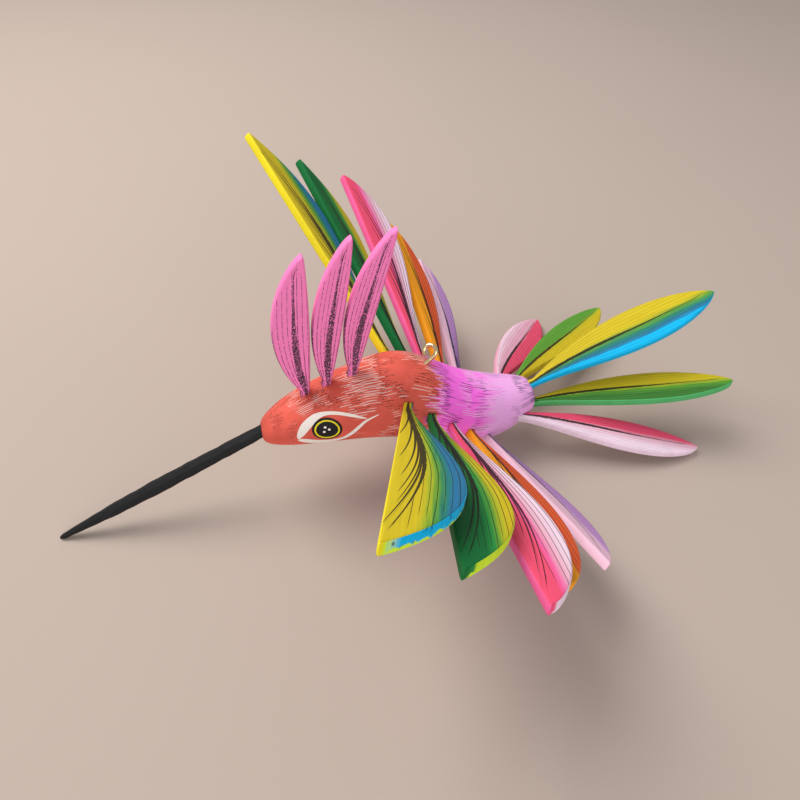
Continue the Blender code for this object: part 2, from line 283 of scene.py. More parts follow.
CREST_PAINT = dict(face=((0.0, CANDY), (1.0, CANDY)), rim=((0.0, CANDY), (1.0, CANDY)),
                   ink=SLATE, front_ink=0.95)

# Lengths in millimetres that the lines on each kind of feather are drawn for.
WING_LENGTH = 66.0
TAIL_LENGTH = 58.0
CREST_LENGTH = 45.0

# Layers of brush strokes on the body: strokes round it, length of a row in millimetres, how much
# of the body stays bare, and seed.
FUR_LAYERS = (
    (112.0, 18.0, 0.46, 0.0),
    (98.0, 15.0, 0.50, 5.0),
    (76.0, 11.0, 0.44, 9.0),
)

# The body's colours start this far from the beak's tip and are spread over this length.
GROUND_START = 60.0
GROUND_LENGTH = 90.0

# Stage: places of the lights in metres, and of the camera in millimetres from the beak's tip.
KEY_PLACE = (-0.30, 0.34, 0.74)
FILL_PLACE = (-0.16, -0.95, 0.20)
CAMERA_PLACE = (68.1, -110.9, 154.5)
KEY_COLOUR = (1.0, 0.97, 0.93)
FILL_COLOUR = (1.0, 1.0, 1.0)
SKY_COLOUR = (0.95, 0.97, 1.0, 1.0)


class HummingbirdSizes(bpy.types.PropertyGroup):
    """Sizes of the carved pieces that a maker would change."""

    wing_thickness: FloatProperty(
        name="Wing thickness", description="Thickness of a wing feather",
        default=0.0026, unit="LENGTH")
    tail_thickness: FloatProperty(
        name="Tail thickness", description="Thickness of a tail feather",
        default=0.0029, unit="LENGTH")
    crest_thickness: FloatProperty(
        name="Crest thickness", description="Thickness of a crest feather",
        default=0.0022, unit="LENGTH")
    rim_rounding: FloatProperty(
        name="Rim rounding", description="How far the rims of the feathers are eased",
        default=0.00065, unit="LENGTH")
    tip_rounding: FloatProperty(
        name="Tip rounding", description="Length over which a feather's tip is rounded",
        default=0.0014, unit="LENGTH")
    blade_steps: IntProperty(
        name="Blade steps", description="Faces along a feather's blade", default=44, min=8)
    paint_film: FloatProperty(
        name="Paint film", description="How far the painted eye stands off the cheek",
        default=0.00009, unit="LENGTH")
    eye_radius: FloatProperty(
        name="Eye radius", description="Radius of the painted eye's black disc",
        default=0.0040, unit="LENGTH")


class HummingbirdColours(bpy.types.PropertyGroup):
    """Colours of the carving, its eyes, the beak and the wire."""

    head: FloatVectorProperty(
        name="Head", description="Paint of the head and the chest",
        default=(0.64, 0.096, 0.066), subtype="COLOR")
    rump: FloatVectorProperty(
        name="Rump", description="Paint of the middle of the back",
        default=(1.0, 0.16, 0.80), subtype="COLOR")
    tail_end: FloatVectorProperty(
        name="Tail end", description="Paint of the blunt end that holds the tail",
        default=(0.86, 0.41, 0.80), subtype="COLOR")
    cream: FloatVectorProperty(
        name="Cream", description="Light brush strokes and the white round the eye",
        default=(0.86, 0.80, 0.74), subtype="COLOR")
    black: FloatVectorProperty(
        name="Black", description="Dark brush strokes, the eye and the beak",
        default=(0.010, 0.010, 0.011), subtype="COLOR")
    yellow: FloatVectorProperty(
        name="Yellow", description="Ring in the eye", default=(0.80, 0.66, 0.02), subtype="COLOR")
    brass: FloatVectorProperty(
        name="Brass", description="Wire of the screw eye",
        default=(0.93, 0.76, 0.42), subtype="COLOR")


class HummingbirdStage(bpy.types.PropertyGroup):
    """Floor, light and camera."""

    floor_colour: FloatVectorProperty(
        name="Floor", description="Colour of the plain floor",
        default=(0.47, 0.385, 0.335), subtype="COLOR")
    floor_width: FloatProperty(
        name="Floor width", description="Side of the square floor", default=3.0, unit="LENGTH")
    key_power: FloatProperty(
        name="Key power", description="Power of the large soft light", default=7.2, unit="POWER")
    key_width: FloatProperty(
        name="Key width", description="Side of the large soft light", default=0.55, unit="LENGTH")
    sky: FloatProperty(
        name="Sky", description="Strength of the even light from all round", default=0.42)
    fill_power: FloatProperty(
        name="Fill power", description="Power of the wide light beside the camera",
        default=7.5, unit="POWER")
    fill_width: FloatProperty(
        name="Fill width", description="Side of the wide light beside the camera",
        default=1.1, unit="LENGTH")
    lens: FloatProperty(name="Lens", description="Focal length of the camera in mm", default=27.0)
    elevation: FloatProperty(
        name="Elevation", description="How far the camera looks down",
        default=radians(47.8), subtype="ANGLE")
    yaw: FloatProperty(
        name="Yaw", description="How far the camera is turned towards the tail",
        default=radians(16.9), subtype="ANGLE")


# ---------------------------------------------------------------- shapes


def placed(x, y, z):
    """A point given from the beak's tip, as a vector in the model's own frame."""
    return Vector((x - BEAK_TIP_TO_ORIGIN, y, z)) * MILLIMETRE


def keep(solid, name, body, materials, replaced=(), slot=None, sharp=35.0):
    """Turn a finished bmesh into a smooth object that rides on a body of the model."""
    mesh = bpy.data.meshes.new(name)
    solid.to_mesh(mesh)
    solid.free()
    mesh.shade_smooth()
    mesh.set_sharp_from_angle(angle=radians(sharp))
    for material in materials:
        mesh.materials.append(material)
    piece = bpy.data.objects.new(name, mesh)
    bpy.context.scene.collection.objects.link(piece)
    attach(piece, body)
    if replaced:
        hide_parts(*replaced)
    return piece


def axes_along(direction, side):
    """A rotation whose Z runs along direction and whose X is as close to side as it can be."""
    along = direction.normalized()
    across = (side - side.dot(along) * along).normalized()
    return Matrix((across, along.cross(across), along)).transposed().to_4x4()


def loft(sections, sides):
    """Bridge rings into one closed tube; each section is (matrix, radius)."""
    solid = bmesh.new()
    for matrix, radius in sections:
        bmesh.ops.create_circle(solid, segments=sides, radius=radius, matrix=matrix)
    bmesh.ops.bridge_loops(solid, edges=solid.edges[:])
    bmesh.ops.holes_fill(solid, edges=solid.edges, sides=sides)
    bmesh.ops.recalc_face_normals(solid, faces=solid.faces)
    return solid


def along_route(points, share):
    """A smooth curve through a list of equal tuples, read at a share of its length."""
    place = share * (len(points) - 1)
    index = min(int(place), len(points) - 2)
    part = place - index
    before, after = points[max(index - 1, 0)], points[min(index + 2, len(points) - 1)]
    start, end = points[index], points[index + 1]
    value = []
    for p0, p1, p2, p3 in zip(before, start, end, after):
        bend = p2 - p0 + (2 * p0 - 5 * p1 + 4 * p2 - p3 + (3 * p1 - p0 - 3 * p2 + p3) * part) * part
        value.append(p1 + bend * part / 2)
    return value


def swelling(along, amount, widest, blunt):
    """How far an edge stands out at a share of the blade's length: nothing at both ends."""
    rise = blunt * widest / (1.0 - widest)
    highest = widest ** rise * (1.0 - widest) ** blunt
    return amount * along ** rise * (1.0 - along) ** blunt / highest


def edge_reach(share, amount, widest, blunt):
    """Distance from the feather's axis to one edge, in millimetres."""
    half = PEG_WIDTH / 2 * (1.0 - share) + POINT_HALF * share
    if share <= 0.0 or share >= 1.0:
        return half
    return half + swelling(share, amount, widest, blunt)


def line_reach(share, amount, widest, blunt):
    """The same, but past the widest place it hardly narrows: painted lines follow this one."""
    if share <= widest:
        return edge_reach(share, amount, widest, blunt)
    past = (share - widest) / (1.0 - widest)
    return edge_reach(widest, amount, widest, blunt) * (1.0 - 0.22 * past * past)


def feather_solid(root, tip, across, one_side, other_side, thickness, peg_depth, sizes):
    """A flat blade with its peg, from a grid that is shaped, eased at its rims and thickened.

    Each side is (amount, widest, blunt); one_side stands out towards across. The attributes
    along and across run from 0 to 1 over the blade, reach is its width in millimetres, and
    level runs from -1 underneath to 1 on top.
    """
    length = (tip - root).length / MILLIMETRE
    blade = length - NECK_LENGTH
    steps = sizes.blade_steps
    shares = [1.0 - (1.0 - step / steps) ** TIP_CROWDING for step in range(steps + 1)]
    stations = [(-peg_depth, 0.0), (-PEG_MOUTH, 0.0)]
    stations += [(NECK_LENGTH + blade * share, share) for share in shares]
    ease, nose = sizes.rim_rounding / MILLIMETRE, sizes.tip_rounding / MILLIMETRE
    half = thickness / MILLIMETRE / 2
    solid = bmesh.new()
    bmesh.ops.create_grid(solid, x_segments=len(stations) - 1, y_segments=BLADE_ROWS, size=0.5)
    for vertex in solid.verts:
        column = round((vertex.co.x + 0.5) * (len(stations) - 1))
        row = round((vertex.co.y + 0.5) * BLADE_ROWS)
        x, share = stations[column]
        rounded = quarter_round(length - x, nose)
        low = -edge_reach(share, *other_side) * rounded
        high = edge_reach(share, *one_side) * rounded
        inset = row_inset(row, high - low, ease)
        drop = ease - ease * quarter_round(min(inset, high - low - inset, length - x), ease)
        if x < 0.0:
            drop = 0.0
        vertex.co = Vector((x, low + inset, drop - half)) * MILLIMETRE
    made = bmesh.ops.extrude_face_region(solid, geom=solid.faces[:], use_keep_orig=True)
    raised = [item for item in made["geom"] if isinstance(item, bmesh.types.BMVert)]
    bmesh.ops.scale(solid, verts=raised, vec=(1.0, 1.0, -1.0))
    bmesh.ops.recalc_face_normals(solid, faces=solid.faces)
    for face in solid.faces:
        level = sum(abs(vertex.co.z) for vertex in face.verts) / len(face.verts) / MILLIMETRE
        face.material_index = 1 if half - level > RIM_DROP * ease else 0
    mark_blade(solid, length, blade, half, one_side, other_side)
    along = (tip - root).normalized()
    side = (across - across.dot(along) * along).normalized()
    turn = Matrix((along, side, along.cross(side))).transposed().to_4x4()
    bmesh.ops.transform(solid, matrix=Matrix.Translation(root) @ turn, verts=solid.verts)
    return solid


def quarter_round(distance, radius):
    """Height of a quarter circle, from nothing at the edge to 1 at its radius."""
    if distance >= radius:
        return 1.0
    return max(1.0 - (1.0 - max(distance, 0.0) / radius) ** 2, 0.02) ** 0.5


def row_inset(row, width, ease):
    """How far a row of the blade's grid lies from one edge: close together at both rims."""
    eased = ease * min(1.0, 0.4 * width / ease)
    last = len(RIM_ROWS) - 1
    if row <= last:
        return RIM_ROWS[row] * eased
    if row >= BLADE_ROWS - last:
        return width - RIM_ROWS[BLADE_ROWS - row] * eased
    inner = (row - last) / (BLADE_ROWS - 2 * last)
    return eased + (width - 2.0 * eased) * inner


def mark_blade(solid, length, blade, half, one_side, other_side):
    """Store where each point of the blade lies, for the paint to follow."""
    along_layer = solid.verts.layers.float.new("along")
    across_layer = solid.verts.layers.float.new("across")
    reach_layer = solid.verts.layers.float.new("reach")
    level_layer = solid.verts.layers.float.new("level")
    for vertex in solid.verts:
        share = min(max((vertex.co.x / MILLIMETRE - NECK_LENGTH) / blade, 0.0), 1.0)
        low, high = line_reach(share, *other_side), line_reach(share, *one_side)
        vertex[along_layer] = vertex.co.x / MILLIMETRE / length
        vertex[across_layer] = (vertex.co.y / MILLIMETRE + low) / (low + high)
        vertex[reach_layer] = low + high
        vertex[level_layer] = vertex.co.z / MILLIMETRE / half


def rolled(direction, reference, roll):
    """The reference direction squared to the feather's axis, then turned about that axis."""
    along = direction.normalized()
    flat = (reference - reference.dot(along) * along).normalized()
    return Matrix.Rotation(roll, 3, along) @ flat


def wing_layout(side_name):
    """Root, tip, sideways direction and edges of each feather of one wing."""
    side = -1 if side_name == "left" else 1
    for number, feather in enumerate(WING_FEATHERS, start=1):
        own = feather[side_name]
        root_x, root_y, root_z = feather["root"]
        tip_x, tip_y, tip_z = own["tip"]
        root = placed(root_x, root_y * side, root_z)
        tip = placed(tip_x, tip_y * side, tip_z)
        across = rolled(tip - root, Vector((1.0, 0.0, 0.0)), radians(own["roll"]) * -side)
        rear = (own["swell"], feather["widest"], feather["blunt"])
        front = (0.0, feather["widest"], feather["blunt"])
        yield number, root, tip, across, rear, front


def tail_layout():
    """Root, tip, sideways direction and edges of each tail feather."""
    for number, feather in enumerate(TAIL_FEATHERS, start=1):
        root, tip = placed(*feather["root"]), placed(*feather["tip"])
        across = rolled(tip - root, Vector((0.0, -1.0, 0.0)), radians(feather["roll"]))
        near = (feather["near"], TAIL_WIDEST_NEAR, TAIL_BLUNT)
        far = (feather["far"], TAIL_WIDEST_FAR, TAIL_BLUNT)
        yield number, root, tip, across, near, far


def crest_layout():
    """Root, tip, sideways direction and edges of each crest feather."""
    for feather in CREST_FEATHERS:
        root, tip = placed(*feather["root"]), placed(*feather["tip"])
        across = rolled(tip - root, Vector((-1.0, 0.0, 0.0)), 0.0)
        front = (feather["front"], CREST_WIDEST, CREST_BLUNT)
        rear = (feather["rear"], CREST_WIDEST, CREST_BLUNT)
        yield feather["name"], root, tip, across, front, rear


def eye_shank():
    """Direction of the screw eye's shank, out of the back."""
    return Matrix.Rotation(EYE_LEAN, 3, "Y") @ Vector((0.0, 0.0, 1.0))


def beak_axis():
    """Start and direction of the beak."""
    return placed(*BEAK_START), Vector((cos(BEAK_SLOPE), 0.0, sin(BEAK_SLOPE)))


def feather_layouts(sizes):
    """Every feather's layout with its thickness and the depth of its peg."""
    yield from ((entry, sizes.crest_thickness, PEG_DEPTH) for entry in crest_layout())
    for side in ("left", "right"):
        yield from ((entry, sizes.wing_thickness, PEG_DEPTH) for entry in wing_layout(side))
    yield from ((entry, sizes.tail_thickness, TAIL_PEG_DEPTH) for entry in tail_layout())


def drills(sizes):
    """One mesh that holds a square punch for each peg, and a drill for the wire and the beak."""
    solid = bmesh.new()
    gap = PEG_PLAY * MILLIMETRE
    mouth = SOCKET_MOUTH * MILLIMETRE
    for (_, root, tip, across, _, _), thickness, depth in feather_layouts(sizes):
        along = (tip - root).normalized()
        side = (across - across.dot(along) * along).normalized()
        height = depth * MILLIMETRE + gap + mouth
        middle = root - along * (depth * MILLIMETRE + gap - height / 2)
        turn = Matrix((side, along.cross(side), along)).transposed().to_4x4()
        wide = PEG_WIDTH * MILLIMETRE + 2.0 * gap
        size = Matrix.Diagonal((wide, thickness + 2.0 * gap, height, 1.0))
        bmesh.ops.create_cube(solid, size=1.0, matrix=Matrix.Translation(middle) @ turn @ size)
    start, direction = beak_axis()
    inner, outer = BEAK_SECTIONS[-1][0] * MILLIMETRE, BEAK_SECTIONS[-2][0] * MILLIMETRE
    beak_radius = BEAK_SECTIONS[-2][1] * BEAK_WIDTH_OVER_HEIGHT * MILLIMETRE
    shank = eye_shank()
    round_holes = (
        (placed(*EYE_ROOT), shank, EYE_DEPTH * MILLIMETRE, WIRE_RADIUS * MILLIMETRE),
        (start + direction * outer, -direction, inner - outer, beak_radius),
    )
    for opening, out, depth, radius in round_holes:
        height = depth + gap + mouth
        middle = opening - out * (depth + gap - height / 2)
        turn = axes_along(out, Vector((0.3, 1.0, 0.2)))
        bmesh.ops.create_cone(solid, cap_ends=True, segments=32, depth=height, radius1=radius + gap,
                              radius2=radius + gap, matrix=Matrix.Translation(middle) @ turn)
    mesh = bpy.data.meshes.new("drills")
    solid.to_mesh(mesh)
    solid.free()
    return bpy.data.objects.new("drills", mesh)


def centre_height(x):
    """Height of the body's centre line at a distance from the beak's tip."""
    for (x0, z0, _), (x1, z1, _) in zip(BODY_STATIONS, BODY_STATIONS[1:]):
        if x <= x1:
            return z0 + (z1 - z0) * max(x - x0, 0.0) / (x1 - x0)
    return BODY_STATIONS[-1][1]


def carved_body(sizes):
    """The head and body as a smooth mesh with its sockets drilled."""
    sections = []
    for x, z, radius in BODY_STATIONS:
        matrix = Matrix.Translation(placed(x, 0.0, z)) @ Matrix.Rotation(pi / 2, 4, "Y")
        sections.append((matrix, radius * MILLIMETRE))
    solid = loft(sections, BODY_SIDES)
    mesh = bpy.data.meshes.new("carving")
    solid.to_mesh(mesh)
    solid.free()
    blank = bpy.data.objects.new("carving", mesh)
    drill = drills(sizes)
    for thing in (blank, drill):
        bpy.context.scene.collection.objects.link(thing)
    rounding = blank.modifiers.new("rounding", "SUBSURF")
    rounding.levels = 3
    rounding.render_levels = 3
    cut = blank.modifiers.new("sockets", "BOOLEAN")
    cut.operation = "DIFFERENCE"
    cut.object = drill
    cut.solver = "EXACT"
    cut.use_self = True
    bpy.context.view_layer.update()
    ready = blank.evaluated_get(bpy.context.evaluated_depsgraph_get())
    solid = bmesh.new()
    solid.from_mesh(ready.data)
    for thing in (blank, drill):
        bpy.data.objects.remove(thing)
    bmesh.ops.remove_doubles(solid, verts=solid.verts, dist=1e-6)
    height_layer = solid.verts.layers.float.new("centre_height")
    for vertex in solid.verts:
        x = vertex.co.x / MILLIMETRE + BEAK_TIP_TO_ORIGIN
        vertex[height_layer] = centre_height(x) * MILLIMETRE
    return solid


def cheek_axes(side):
    """Plane of the painted eye: its centre, forward-to-back and up directions, and normal."""
    mirror = Matrix.Diagonal((1.0, -side, 1.0))
    centre = placed(*CHEEK_POINT)
    back = Vector((1.0, 0.0, 0.0))
    back = (back - back.dot(CHEEK_NORMAL) * CHEEK_NORMAL).normalized()
    up = -CHEEK_NORMAL.cross(back)
    if up.z < 0.0:
        up = -up
    return mirror @ centre, mirror @ back, mirror @ up, mirror @ CHEEK_NORMAL


def lay_film(solid, skin, side, shape, columns, rows, lift, thickness):
    """Lay a film of paint on the cheek; shape turns a grid's two shares into plane places."""
    centre, back, up, normal = cheek_axes(side)
    film = bmesh.new()
    bmesh.ops.create_grid(film, x_segments=columns, y_segments=rows, size=0.5)
    for vertex in film.verts:
        first, second = shape(vertex.co.x + 0.5, vertex.co.y + 0.5)
        target = centre + (back * first + up * second) * MILLIMETRE
        place, out, _, _ = skin.ray_cast(target + normal * 0.02, -normal)
        if place is None:
            place, out, _, _ = skin.find_nearest(target)
        vertex.co = place + out * lift
    bmesh.ops.remove_doubles(film, verts=film.verts, dist=1e-6)
    bmesh.ops.dissolve_degenerate(film, edges=film.edges, dist=1e-7)
    bmesh.ops.recalc_face_normals(film, faces=film.faces)
    if film.faces[0].normal.dot(normal) < 0.0:
        bmesh.ops.reverse_faces(film, faces=film.faces)
    bmesh.ops.solidify(film, geom=film.faces[:], thickness=thickness)
    bmesh.ops.recalc_face_normals(film, faces=film.faces)
    mesh = bpy.data.meshes.new("film")
    film.to_mesh(mesh)
    film.free()
    solid.from_mesh(mesh)
    bpy.data.meshes.remove(mesh)


def disc_shape(centre, radius):
    """Maps a square of shares onto a disc without gathering at its middle."""
    def shape(first, second):
        x, y = first * 2.0 - 1.0, second * 2.0 - 1.0
        wide, high = (1.0 - y * y / 2.0) ** 0.5, (1.0 - x * x / 2.0) ** 0.5
        return centre[0] + radius * x * wide, centre[1] + radius * y * high * EYE_FLATNESS
    return shape


def ring_shape(centre, inner, outer):
    """Maps shares onto a ring."""
    def shape(first, second):
        radius = inner + (outer - inner) * second
        angle = first * 2.0 * pi
        return centre[0] + radius * cos(angle), centre[1] + radius * sin(angle) * EYE_FLATNESS
    return shape


def stroke_shape(points):
    """Maps shares onto a brush stroke with its own half width at each point."""
    def shape(first, second):
        x, y, half = along_route(points, first)
        ahead = along_route(points, min(first + 0.01, 1.0))
        behind = along_route(points, max(first - 0.01, 0.0))
        turn = atan2(ahead[1] - behind[1], ahead[0] - behind[0])
        offset = half * (second * 2.0 - 1.0)
        return x - sin(turn) * offset, y + cos(turn) * offset
    return shape


# ---------------------------------------------------------------- paint


class Wires:
    """Adds nodes to one tree; a value is a number, a colour or another node's output."""

    def __init__(self, tree):
        self.tree = tree

    def join(self, value, socket):
        """Set a socket, or link it."""
        if isinstance(value, bpy.types.NodeSocket):
            self.tree.links.new(value, socket)
        elif value is not None:
            socket.default_value = value

    def node(self, kind, *values, **settings):
        """A new node with its settings and its first inputs."""
        made = self.tree.nodes.new(kind)
        for name, value in settings.items():
            setattr(made, name, value)
        for value, socket in zip(values, made.inputs):
            self.join(value, socket)
        return made

    def math(self, operation, *values, clamp=False):
        """One number from one, two or three."""
        return self.node("ShaderNodeMath", *values, operation=operation, use_clamp=clamp).outputs[0]

    def smooth(self, value, low, high):
        """0 at low and 1 at high, eased."""
        return self.node("ShaderNodeMapRange", value, low, high, 0.0, 1.0,
                         interpolation_type="SMOOTHSTEP").outputs[0]

    def product(self, *values):
        """All the values multiplied."""
        total = values[0]
        for value in values[1:]:
            total = self.math("MULTIPLY", total, value)
        return total

    def mix(self, factor, first, second):
        """A colour between two."""
        made = self.node("ShaderNodeMix", factor, data_type="RGBA")
        self.join(first if isinstance(first, bpy.types.NodeSocket) else (*first, 1.0), made.inputs[6])
        self.join(second if isinstance(second, bpy.types.NodeSocket) else (*second, 1.0), made.inputs[7])
        return made.outputs[2]

    def noise(self, vector, scale, detail=2.0):
        """Smooth noise around one half."""
        made = self.node("ShaderNodeTexNoise", vector)
        made.inputs["Scale"].default_value = scale
        made.inputs["Detail"].default_value = detail
        return made.outputs[0]

    def random(self, *values):
        """A number from 0 to 1 that depends on up to three others."""
        vector = self.node("ShaderNodeCombineXYZ", *values).outputs[0]
        return self.node("ShaderNodeTexWhiteNoise", vector, noise_dimensions="3D").outputs[0]

    def attribute(self, name):
        """A number stored on the mesh."""
        return self.node("ShaderNodeAttribute", attribute_name=name).outputs["Fac"]

    def ramp(self, value, stops):
        """A colour read from stops."""
        made = self.node("ShaderNodeValToRGB", value)
        elements = made.color_ramp.elements
        while len(elements) < len(stops):
            elements.new(1.0)
        for element, (place, colour) in zip(elements, stops):
            element.position = place
            element.color = (*colour, 1.0)
        return made.outputs[0]

    def group(self, tree, **values):
        """A node group with its inputs set by name, underscores standing for spaces."""
        made = self.node("ShaderNodeGroup", node_tree=tree)
        for name, value in values.items():
            self.join(value, made.inputs[name.replace("_", " ")])
        return made.outputs


def new_group(name, inputs, outputs):
    """An empty node group: its tree, wires, input values and output sockets."""
    tree = bpy.data.node_groups.new(name, "ShaderNodeTree")
    for label, kind in inputs:
        tree.interface.new_socket(label, in_out="INPUT", socket_type=kind)
    for label, kind in outputs:
        tree.interface.new_socket(label, in_out="OUTPUT", socket_type=kind)
    wires = Wires(tree)
    return tree, wires, wires.node("NodeGroupInput").outputs, wires.node("NodeGroupOutput").inputs


NUMBER = "NodeSocketFloat"
VECTOR = "NodeSocketVector"


def stripe(wires, value, pitch):
    """Number of the stripe that a value falls in, and how far it is from the stripe's middle."""
    place = wires.math("DIVIDE", value, pitch)
    number = wires.math("FLOOR", place)
    offset = wires.math("ABSOLUTE", wires.math("SUBTRACT", wires.math("FRACT", place), 0.5))
    return number, wires.math("MULTIPLY", offset, pitch)


def feather_lines_group():
    """Quill, barbs and fine fanned lines of one feather, as a mask of dark paint."""
    tree, wires, given, result = new_group(
        "feather_lines",
        [(name, NUMBER) for name in (
            "Along", "Across", "Reach", "Length", "Quill Place", "Quill Curl", "Quill Width",
            "Line Pitch", "Line Width", "Line Strength", "Barbs", "Front Lines", "Broken", "Seed")]
        + [("Position", VECTOR)],
        [("Mask", NUMBER)])
    along, across, reach = given["Along"], given["Across"], given["Reach"]
    grit = wires.noise(given["Position"], 3600.0, 1.0)
    drag = wires.noise(given["Position"], 900.0, 1.0)
    curl = wires.math("POWER", along, given["Quill Curl"])
    quill = wires.product(given["Quill Place"], wires.math("SUBTRACT", 1.0, curl))
    offset = wires.math("SUBTRACT", across, quill)
    distance = wires.product(wires.math("ABSOLUTE", offset), reach)
    wide = wires.smooth(along, -0.12, 0.20)
    slim = wires.math("SUBTRACT", 1.0, wires.product(wires.smooth(along, 0.30, 0.86), 0.86))
    uneven = wires.math("MULTIPLY_ADD", wires.math("ADD", grit, drag), 0.8, 0.2)
    width = wires.product(given["Quill Width"], wide, slim, uneven)
    quill_mask = wires.product(
        wires.smooth(distance, wires.math("ADD", width, 0.09), width),
        wires.smooth(along, 0.96, 0.90))
    speckled = wires.math(
        "SUBTRACT", 1.0, wires.product(given["Broken"], wires.smooth(grit, 0.44, 0.36)))
    # Lines that fan out between the quill and the edge.
    number, apart = stripe(wires, across, given["Line Pitch"])
    chance = wires.random(number, given["Seed"], 1.0)
    chance_2 = wires.random(number, given["Seed"], 2.0)
    start = wires.math("MULTIPLY_ADD", chance_2, 0.22, -0.04)
    end = wires.math("MULTIPLY_ADD", chance, 0.20, 0.78)
    faded = wires.smooth(along, start, end)
    line_width = wires.product(
        given["Line Width"], wires.math("MULTIPLY_ADD", chance, 0.7, 0.7),
        wires.math("MULTIPLY_ADD", faded, -0.62, 1.0))
    line = wires.smooth(wires.product(apart, reach), wires.math("ADD", line_width, 0.07), line_width)
    shown = wires.product(
        wires.smooth(along, start, wires.math("ADD", start, 0.05)),
        wires.smooth(along, wires.math("ADD", end, 0.05), end))
    rear = wires.smooth(offset, 0.0, 0.03)
    front = wires.product(wires.smooth(offset, 0.0, -0.03), given["Front Lines"])
    fan = wires.product(line, shown, given["Line Strength"], wires.math("ADD", rear, front, clamp=True))
    dashes = wires.smooth(wires.math("ADD", grit, wires.product(drag, 0.5)), 0.64, 0.74)
    dashed = wires.math(
        "SUBTRACT", 1.0, wires.product(given["Broken"], wires.math("SUBTRACT", 1.0, dashes)))
    barb = barb_mask(wires, given, offset)
    fine = wires.math("MAXIMUM", wires.product(fan, dashed), barb)
    mask = wires.math("MAXIMUM", wires.product(quill_mask, speckled), fine)
    wires.join(mask, result["Mask"])
    return tree


def barb_mask(wires, given, offset):
    """Tapered strokes that leave the quill forwards: the nearer the tip, the steeper they run."""
    bend = 35.0
    pitch = 0.048
    away = wires.math("MAXIMUM", wires.math("MULTIPLY", offset, -1.0), 0.004)
    steep = wires.product(away, bend)
    root = wires.math("SQRT", wires.math("MULTIPLY_ADD", wires.product(steep, given["Along"]), 4.0, 1.0))
    course = wires.math("DIVIDE", wires.math("SUBTRACT", root, 1.0), wires.product(steep, 2.0))
    number, apart = stripe(wires, course, pitch)
    sideways = wires.math("DIVIDE", wires.product(course, course, bend), given["Reach"])
    forwards = wires.math("DIVIDE", 1.0, given["Length"])
    slope = wires.math("SQRT", wires.math(
        "ADD", wires.product(sideways, sideways), wires.product(forwards, forwards)))
    distance = wires.math("DIVIDE", wires.product(apart, root), slope)
    chance = wires.random(number, given["Seed"], 3.0)
    span = wires.math("MULTIPLY_ADD", course, 1.2, wires.math("MULTIPLY_ADD", chance, 0.12, 0.09))
    faded = wires.math("DIVIDE", wires.math("SUBTRACT", given["Along"], course), span)
    left = wires.math("SUBTRACT", 1.0, faded, clamp=True)
    width = wires.product(wires.math("POWER", left, 0.8), wires.math("MULTIPLY_ADD", chance, 0.12, 0.20))
    return wires.product(
        wires.smooth(distance, wires.math("ADD", width, 0.07), width),
        wires.smooth(faded, 1.0, 0.88), wires.smooth(offset, 0.0, -0.01),
        wires.smooth(course, 0.08, 0.10), wires.smooth(course, 0.42, 0.38),
        wires.math("LESS_THAN", wires.random(number, given["Seed"], 4.0), given["Barbs"]))


def brushed_group():
    """Brush marks that run along the piece, with the wood's grain under them."""
    tree, wires, given, result = new_group(
        "brushed_paint", [("Stretched", VECTOR), ("Position", VECTOR)],
        [("Streak", NUMBER), ("Height", NUMBER), ("Roughness", NUMBER)])
    streak = wires.noise(given["Stretched"], 1.0, 4.0)
    grain = wires.noise(given["Stretched"], 3.1, 3.0)
    blotch = wires.noise(given["Position"], 160.0, 2.0)
    dust = wires.noise(given["Position"], 1500.0, 2.0)
    height = wires.math("MULTIPLY_ADD", streak, 0.8, wires.product(dust, 0.35))
    height = wires.math("MULTIPLY_ADD", grain, 0.6, height)
    rough = wires.math("MULTIPLY_ADD", streak, 0.14, 0.46)
    rough = wires.math("MULTIPLY_ADD", blotch, 0.16, rough)
    wires.join(streak, result["Streak"])
    wires.join(height, result["Height"])
    wires.join(rough, result["Roughness"])
    return tree


